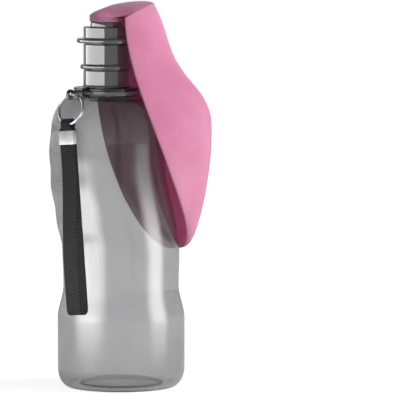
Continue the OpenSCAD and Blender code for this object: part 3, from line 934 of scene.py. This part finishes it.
# collar with two ears; the strap side is turned from the neck's axis to their eyes, with x outwards
collar = {
    "turn": 202, "inner": 15.5, "outer": 21.4, "low": 190.5, "height": 5, "gapIn": 1, "steps": 120,
    "groove": (1.9, 1.75, 1.45, 1.3), "grooveDeep": 0.35,  # heights below the collar's top
    "eyeX": 33, "eyeY": 3.1, "eyeT": 1.9, "eyeR": 3.5, "eyeHole": 1.7, "eyeZ": 192.0, "eyeEdge": 0.35,
    "armIn": 1.2, "armUp": 0.1, "armDown": 1, "earSteps": 40, "holeSides": 32,
}
eyesPlace = Matrix.Translation((neckX, 0, 0)) @ turnBy(collar["turn"], "Z")


def collarPiece():
    c = collar
    low, top = c["low"], c["low"] + c["height"]
    dent = c["outer"] - c["grooveDeep"]
    z1, z2, z3, z4 = (top - deep for deep in c["groove"])
    section = roundOutline([(c["inner"], low, 0.4), (c["outer"], low, 0.6), (c["outer"], z1, 0.2),
                            (dent, z2, 0.15), (dent, z3, 0.15), (c["outer"], z4, 0.2),
                            (c["outer"], top, 0.5), (c["inner"], top, 0.4)], True, 3)
    gap = math.asin(c["eyeY"] / (c["outer"] - c["gapIn"]))
    frames = [(Vector((0, 0, 0)), Vector((math.cos(a), math.sin(a), 0)), Vector((0, 0, 1)))
              for a in evenly(gap, 2 * math.pi - gap, c["steps"])]
    band = sweepPiece("collarBand", section, frames, collarPlastic)
    seat(band, eyesPlace)
    parts = [band]
    armX = c["inner"] + c["armIn"] - c["eyeX"]
    armLow, armHigh = low + c["armUp"] - c["eyeZ"], low + c["height"] - c["armDown"] - c["eyeZ"]
    a0, a1 = math.asin(max(-1, armLow / c["eyeR"])), math.asin(armHigh / c["eyeR"])
    turns = evenly(math.pi - a1, a0 - math.pi, c["earSteps"])
    ear = [(c["eyeR"] * math.cos(a), c["eyeR"] * math.sin(a)) for a in turns]
    ear = [(armX, armHigh), *ear, (armX, armLow)]
    turns = [2 * math.pi * k / c["holeSides"] for k in range(c["holeSides"])]
    hole = [(c["eyeHole"] * math.cos(a), c["eyeHole"] * math.sin(a)) for a in turns]
    for side in (-1, 1):
        stand = eyesPlace @ Matrix.Translation((c["eyeX"], side * c["eyeY"], c["eyeZ"])) @ turnBy(90, "X")
        parts.append(platePiece("collarEar", [ear, hole], c["eyeT"], c["eyeEdge"], collarPlastic, stand))
    dress(joinMeshes("collarShell", parts, collarPlastic), ["strap_collar"], "collar")


splitRing = {"radius": 9.6, "wire": 0.55, "lean": 19, "turns": 1.96, "start": 200, "nip": 0.02}


def splitPiece():
    s = splitRing
    spot = (eyesPlace @ Matrix.Translation((collar["eyeX"], 0, collar["eyeZ"])) @ turnBy(-s["lean"], "Y")
            @ Matrix.Translation((0, 0, -s["radius"])) @ turnBy(90, "Y") @ turnBy(s["start"], "Z")
            @ Matrix.Translation((0, 0, -s["wire"])))
    values = {"Turns": s["turns"], "Radius": s["radius"], "Pitch": 2 * s["wire"] - s["nip"],
              "Wire": s["wire"]}
    coil = windPiece("splitRingCoil", values, ringSteel, spot, stepped=True)
    dress(coil, ["split_ring"], "ring")


# webbing, in its own frame: x across both runs, y along its width, z up from the split ring's lowest point
webbing = {
    "width": 12, "thick": 1.4, "length": 119.1, "gap": 5, "lean": 5, "back": -0.4,
    "loopR": 2.0, "loopArc": range(-20, 201, 20), "endArc": range(180, 361, 30),
    "backRun": ((-1.75, -2.3), (-0.35, -3.9)), "frontRun": ((2.05, -3.6), (2.5, -2.0)),  # (x, z) to the crimp
    "crimpRun": (-5.8, -9, -14), "runFrom": -20, "runStep": 6, "runs": 17, "gapFrom": -25, "gapTo": -95,
    "eyeW": 7.4, "gatherZ": -1.8, "seam": 0.03, "edgeR": 0.55, "skinIn": 0.02,
    "flat": 0.12, "selvedge": 1.1, "across": 1.0,
}
ringLow = (collar["eyeX"] + 2 * splitRing["radius"] * sinD(splitRing["lean"]), 0,
           collar["eyeZ"] - 2 * splitRing["radius"] * cosD(splitRing["lean"]))
strapPlace = eyesPlace @ Matrix.Translation(ringLow) @ turnBy(webbing["lean"], "X")


# a smooth closed path through the knots
def smoothPath(knots, steps=6):
    out = []
    for i in range(len(knots)):
        p0, p1, p2, p3 = (Vector(knots[(i + k) % len(knots)]) for k in (-1, 0, 1, 2))
        for k in range(steps):
            t = k / steps
            out.append(0.5 * (2 * p1 + (p2 - p0) * t + (2 * p0 - 5 * p1 + 4 * p2 - p3) * t * t
                              + (3 * p1 - p0 - 3 * p2 + p3) * t ** 3))
    return out


# round the split ring, down through the crimp, round the far end and back
def webbingPath():
    s = webbing
    w = s["thick"]
    loopR, endR = s["loopR"] + w / 2, s["gap"] / 2 + w / 2
    endX = s["back"] + w + s["gap"] / 2
    left, right = s["back"] + w / 2, s["back"] + 1.5 * w + s["seam"]
    upper, middle, lower = s["crimpRun"]
    down = [s["runFrom"] - s["runStep"] * k for k in range(s["runs"])]
    knots = [(loopR * cosD(a), loopR * sinD(a)) for a in s["loopArc"]]
    knots += [*s["backRun"], (left - s["skinIn"], upper), (left, middle), (left, lower)]
    knots += [(left, q) for q in down]
    knots += [(endX + endR * cosD(a), -s["length"] + endR * sinD(a)) for a in s["endArc"]]
    knots += [(right + s["gap"] * ease(share(q, s["gapFrom"], s["gapTo"])), q) for q in reversed(down)]
    knots += [(right, lower), (right, middle), (right + s["skinIn"], upper), *s["frontRun"]]
    return smoothPath(knots)


# the webbing's section: a fuller selvedge along both edges and a flatter middle
def webbingSection():
    s = webbing
    half, edge = s["width"] / 2, s["thick"] / 2 - s["skinIn"]
    corners = roundOutline([(-edge, -half, s["edgeR"]), (edge, -half, s["edgeR"]), (edge, half, s["edgeR"]),
                            (-edge, half, s["edgeR"])], True, 4)
    out = []
    for i, (x0, y0) in enumerate(corners):
        x1, y1 = corners[(i + 1) % len(corners)]
        steps = max(1, round(math.hypot(x1 - x0, y1 - y0) / s["across"]))
        for k in range(steps):
            x, y = mix(x0, x1, k / steps), mix(y0, y1, k / steps)
            flat = s["flat"] if abs(y) < half - s["selvedge"] else 0
            out.append((x - math.copysign(flat, x), y))
    return out


def webbingPiece():
    s = webbing
    path, section = webbingPath(), webbingSection()
    count = len(path)
    frames, uvs, run = [], [], 0
    for i, p in enumerate(path):
        ahead = path[(i + 1) % count] - path[i - 1]
        ahead.normalize()
        gather = mix(s["eyeW"] / s["width"], 1, ease(share(p.y, s["gatherZ"], crimp["top"])))
        frames.append((Vector((p.x, 0, p.y)), Vector((ahead.y, 0, -ahead.x)), Vector((0, gather, 0))))
        uvs += [(v, run) for _, v in section]
        run += (path[(i + 1) % count] - p).length
    web = sweepPiece("webbingLoop", section, frames, twill, loop=True, uvs=uvs)
    seat(web, strapPlace)
    dress(web, ["strap_webbing"], "strap")


crimp = {"width": 13.6, "height": 9, "top": -4.3, "wall": 0.8, "corner": 1.1, "slotCorner": 0.3, "edge": 0.3,
         "sideGap": 0.02, "faceGap": 0.04}


def crimpPiece():
    s, w = crimp, webbing
    full = 2 * w["thick"] + 2 * s["wall"]
    slotW, slotT = w["width"] + 2 * s["sideGap"], 2 * w["thick"] + 2 * s["faceGap"]
    slotLow = (-w["width"] / 2 - s["sideGap"], -w["thick"] - s["faceGap"])
    outer = roundOutline(box((-s["width"] / 2, -full / 2), (s["width"], full), s["corner"]))
    inner = roundOutline(box(slotLow, (slotW, slotT), s["slotCorner"]), True, 3)
    middle = (w["back"] + w["thick"] + w["seam"] / 2, 0, s["top"] - s["height"] / 2)
    stand = strapPlace @ Matrix.Translation(middle) @ turnBy(90, "Z")
    band = platePiece("crimpBand", [outer, inner], s["height"], s["edge"], crimpMetal, stand)
    dress(band, ["strap_crimp"], "strap")


collarPiece()
splitPiece()
webbingPiece()
crimpPiece()
print("strap parts made")


# the CAD nodes that stay
cadLooks = {"neck_gasket": sealRubber, "disc_seal": sealRubber, "head_o_ring": darkRubber,
            "valve_disc": whitePlastic, "centre_post": ringSteel, "post_screw": ringSteel}
for nodeName, look in cadLooks.items():
    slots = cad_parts[nodeName].data.materials
    slots.clear()
    slots.append(look)


# floor and backdrop, in metres: white to the camera and through see-through pieces, and the floor glows
# a little less near the bottle, so that the shadow stays
room = {
    "half": 6.0, "pale": (0.9, 0.9, 0.9), "paler": (0.93, 0.93, 0.93), "roughness": 0.9,
    "glowNear": 0.7, "glowFar": 0.82, "near": 0.1, "far": 0.4,
    "skyLow": 0.55, "skyHigh": 0.12, "heightLow": 0.05, "heightHigh": 0.7,
}


def seenStraight(tree):
    rays = tree.nodes.new("ShaderNodeLightPath")
    return mathNode(tree, "MAXIMUM", rays.outputs["Is Camera Ray"], rays.outputs["Is Transmission Ray"])


def floorPiece():
    s = Shader("studioWhite")
    s.feed(Base_Color=s.mottle(room["pale"], room["paler"], scale=3))
    s.set(Roughness=room["roughness"], Emission_Color=(1, 1, 1, 1))
    away = s.node("ShaderNodeVectorMath", operation="LENGTH")
    s.link(s.coords.outputs["Object"], away.inputs[0])
    glow = s.span(away.outputs["Value"], room["glowNear"], room["glowFar"], room["near"], room["far"])
    s.feed(Emission_Strength=s.math("MULTIPLY", seenStraight(s.tree), glow))
    mesh = bpy.data.meshes.new("floor")
    w = room["half"]
    mesh.from_pydata([(-w, -w, 0), (w, -w, 0), (w, w, 0), (-w, w, 0)], [], [(0, 1, 2, 3)])
    finishPiece("floor", mesh, s.material)


def skyLight():
    world = bpy.data.worlds.new("studio")
    world.use_nodes = True
    bpy.context.scene.world = world
    tree = world.node_tree
    tree.nodes.clear()
    new, join = tree.nodes.new, tree.links.new
    seen, lit = new("ShaderNodeBackground"), new("ShaderNodeBackground")
    for shade in (seen, lit):
        shade.inputs["Color"].default_value = (1, 1, 1, 1)
    ways, split = new("ShaderNodeTexCoord"), new("ShaderNodeSeparateXYZ")
    join(ways.outputs["Generated"], split.inputs[0])
    span = [room[key] for key in ("heightLow", "heightHigh", "skyLow", "skyHigh")]
    join(spanNode(tree, split.outputs[2], *span), lit.inputs["Strength"])
    blend, out = new("ShaderNodeMixShader"), new("ShaderNodeOutputWorld")
    join(seenStraight(tree), blend.inputs[0])
    join(lit.outputs[0], blend.inputs[1])
    join(seen.outputs[0], blend.inputs[2])
    join(blend.outputs[0], out.inputs[0])


# A lamp lights without being seen in reflections. A card is seen in reflections only, and a soft one fades
# to its edges. One with only shines on those pieces alone, and those in past don't stand in its way.
# Metres and watts; turn is measured to the left of the camera, as seen from the bottle.
neckPieces = ("capShell", "valveRing", "spoutHeadShell", "nozzleShell", "collarShell", "splitRingCoil")
strapPieces = ("webbingLoop", "crimpBand", "splitRingCoil")
lamps = {
    "side": {"turn": -84, "away": 1.5, "height": 0.85, "aim": (0.02, 0, 0.14), "size": (1.0, 1.2),
             "power": 22},
    "soft": {"turn": 10, "away": 1.8, "height": 0.6, "aim": (0, 0, 0.14), "size": (1.2, 1.2), "power": 8},
    "neckCard": {"turn": 66, "away": 0.6, "height": 0.25, "aim": (0, 0, 0.25), "size": (1.8, 0.24),
                 "power": 5, "card": True, "only": neckPieces},
    "leftCard": {"turn": 54, "away": 0.16, "height": 0.07, "aim": (0, 0, 0.07), "size": (0.22, 0.16),
                 "power": 0.9, "card": True, "soft": True, "past": strapPieces},
    "rightCard": {"turn": -66, "away": 0.16, "height": 0.08, "aim": (0, 0, 0.08), "size": (0.14, 0.18),
                  "power": 0.55, "card": True, "soft": True},
}


# fades a card's light over the outer part of its width and height
def softenEdges(data, fadeOver=0.4):
    data.use_nodes = True
    tree = data.node_tree
    spot, split = tree.nodes.new("ShaderNodeNewGeometry"), tree.nodes.new("ShaderNodeSeparateXYZ")
    tree.links.new(spot.outputs["Parametric"], split.inputs[0])
    fades = [spanNode(tree, mathNode(tree, "PINGPONG", split.outputs[axis], 0.5), 0, fadeOver, smooth=True)
             for axis in (0, 1)]
    tree.links.new(mathNode(tree, "MULTIPLY", *fades), tree.nodes["Emission"].inputs["Strength"])


def pieceGroup(name, pieces):
    group = bpy.data.collections.new(name)
    for piece in pieces:
        group.objects.link(bpy.data.objects[piece])
    return group


def addLamp(name, lamp):
    data = bpy.data.lights.new(name, "AREA")
    data.shape = "RECTANGLE"
    data.size, data.size_y = lamp["size"]
    data.energy = lamp["power"]
    if lamp.get("soft"):
        softenEdges(data)
    card = lamp.get("card", False)
    a = math.radians(photo["azimuth"] - 90 - lamp["turn"])
    obj = addObject(name, data)
    obj.location = (lamp["away"] * math.cos(a), lamp["away"] * math.sin(a), lamp["height"])
    obj.rotation_euler = (Vector(lamp["aim"]) - obj.location).to_track_quat("-Z", "Y").to_euler()
    obj.visible_camera = False
    obj.visible_transmission = False
    obj.visible_diffuse = not card
    obj.visible_glossy = card
    if "only" in lamp:
        obj.light_linking.receiver_collection = pieceGroup(name + "Only", lamp["only"])
    if "past" in lamp:
        group = pieceGroup(name + "Past", lamp["past"])
        for entry in group.collection_objects:
            entry.light_linking.link_state = "EXCLUDE"
        obj.light_linking.blocker_collection = group


floorPiece()
skyLight()
for lampName, lamp in lamps.items():
    addLamp(lampName, lamp)
print("studio set")

bpy.context.scene.view_settings.view_transform = "Standard"
